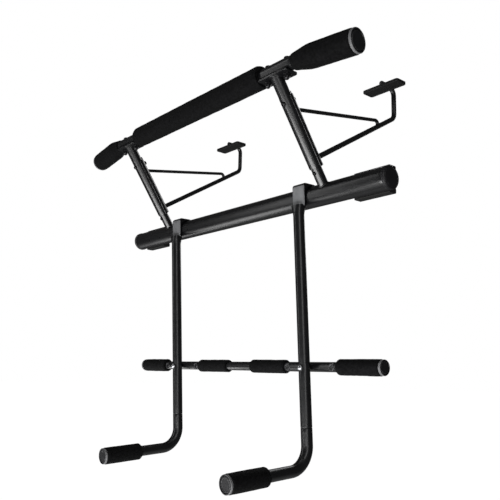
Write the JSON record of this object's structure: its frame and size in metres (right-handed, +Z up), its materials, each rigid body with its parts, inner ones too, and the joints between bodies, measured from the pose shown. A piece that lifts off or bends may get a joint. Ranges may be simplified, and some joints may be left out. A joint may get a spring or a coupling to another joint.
{
  "type": "doorway pull up bar",
  "caption": "Doorway pull-up bar: main bar with casing pads, raised foam top bar on two risers, rear hook frames, and a hanging lower frame with foam handles.",
  "frame": {"origin": "middle of the door casing's front face, at the height of the main bar's axis, where the two casing pads press", "axes": "+X along the main bar to the right as seen by the user, +Y towards and through the doorway, +Z up"},
  "size_m": [1.016, 0.4596, 0.9366],
  "materials": {
    "black_steel": "satin powder coat, near black",
    "strap_steel": "satin grey powder coat",
    "grip_foam": "matt closed-cell foam with a fine grain",
    "black_plastic": "moulded, fine texture",
    "black_rubber": "matt",
    "bright_zinc": "bright zinc plate",
    "black_screws": "black oxide"
  },
  "bodies": {
    "fixed_frame": {"main_bar": "black_steel", "top_bar": "black_steel", "top_foam_middle": "grip_foam", "main_bar_end_cap_left": "black_plastic", "main_bar_end_cap_right": "black_plastic", "casing_pad_left": "black_rubber", "casing_pad_right": "black_rubber", "riser_stub_left": "black_steel", "riser_stub_right": "black_steel", "riser_tube_left": "black_steel", "riser_tube_right": "black_steel", "saddle_plate_left": "black_steel", "saddle_plate_right": "black_steel", "hook_channel_left": "black_steel", "hook_channel_right": "black_steel", "hook_rod_left": "black_steel", "hook_rod_right": "black_steel", "hook_brace_left": "black_steel", "hook_brace_right": "black_steel", "hook_rest_plate_left": "black_steel", "hook_rest_plate_right": "black_steel", "hook_boot_left": "black_rubber", "hook_boot_right": "black_rubber", "channel_bolt_left": "black_screws", "channel_bolt_right": "black_screws", "stop_screw_left": "black_screws", "stop_screw_right": "black_screws", "top_grip_left": "grip_foam", "top_grip_right": "grip_foam", "top_end_cap_left": "black_plastic", "top_end_cap_right": "black_plastic", "saddle_bolt_inner_left": "black_screws", "saddle_bolt_inner_right": "black_screws", "saddle_bolt_outer_left": "black_screws", "saddle_bolt_outer_right": "black_screws", "saddle_nut_inner_left": "black_screws", "saddle_nut_inner_right": "black_screws", "saddle_nut_outer_left": "black_screws", "saddle_nut_outer_right": "black_screws"},
    "lower_frame": {"cross_bar": "black_steel", "hanger_strap_left": "strap_steel", "hanger_strap_right": "strap_steel", "hanger_tube_left": "black_steel", "hanger_tube_right": "black_steel", "handle_tube_left": "black_steel", "handle_tube_right": "black_steel", "handle_foam_left": "grip_foam", "handle_foam_right": "grip_foam", "handle_end_cap_left": "black_plastic", "handle_end_cap_right": "black_plastic", "cross_foam_outer_left": "grip_foam", "cross_foam_outer_right": "grip_foam", "cross_foam_inner_left": "grip_foam", "cross_foam_inner_right": "grip_foam", "cross_end_cap_left": "black_plastic", "cross_end_cap_right": "black_plastic", "cross_bolt_left": "bright_zinc", "cross_bolt_right": "bright_zinc", "cross_nut_left": "bright_zinc", "cross_nut_right": "bright_zinc"}
  },
  "joints": [
    {"name": "lower_frame_swing", "type": "hinge", "parent": "fixed_frame", "child": "lower_frame", "pos_m": [0, -0.034, 0], "axis": [-1, 0, 0], "range_deg": [0, 100]}
  ]
}
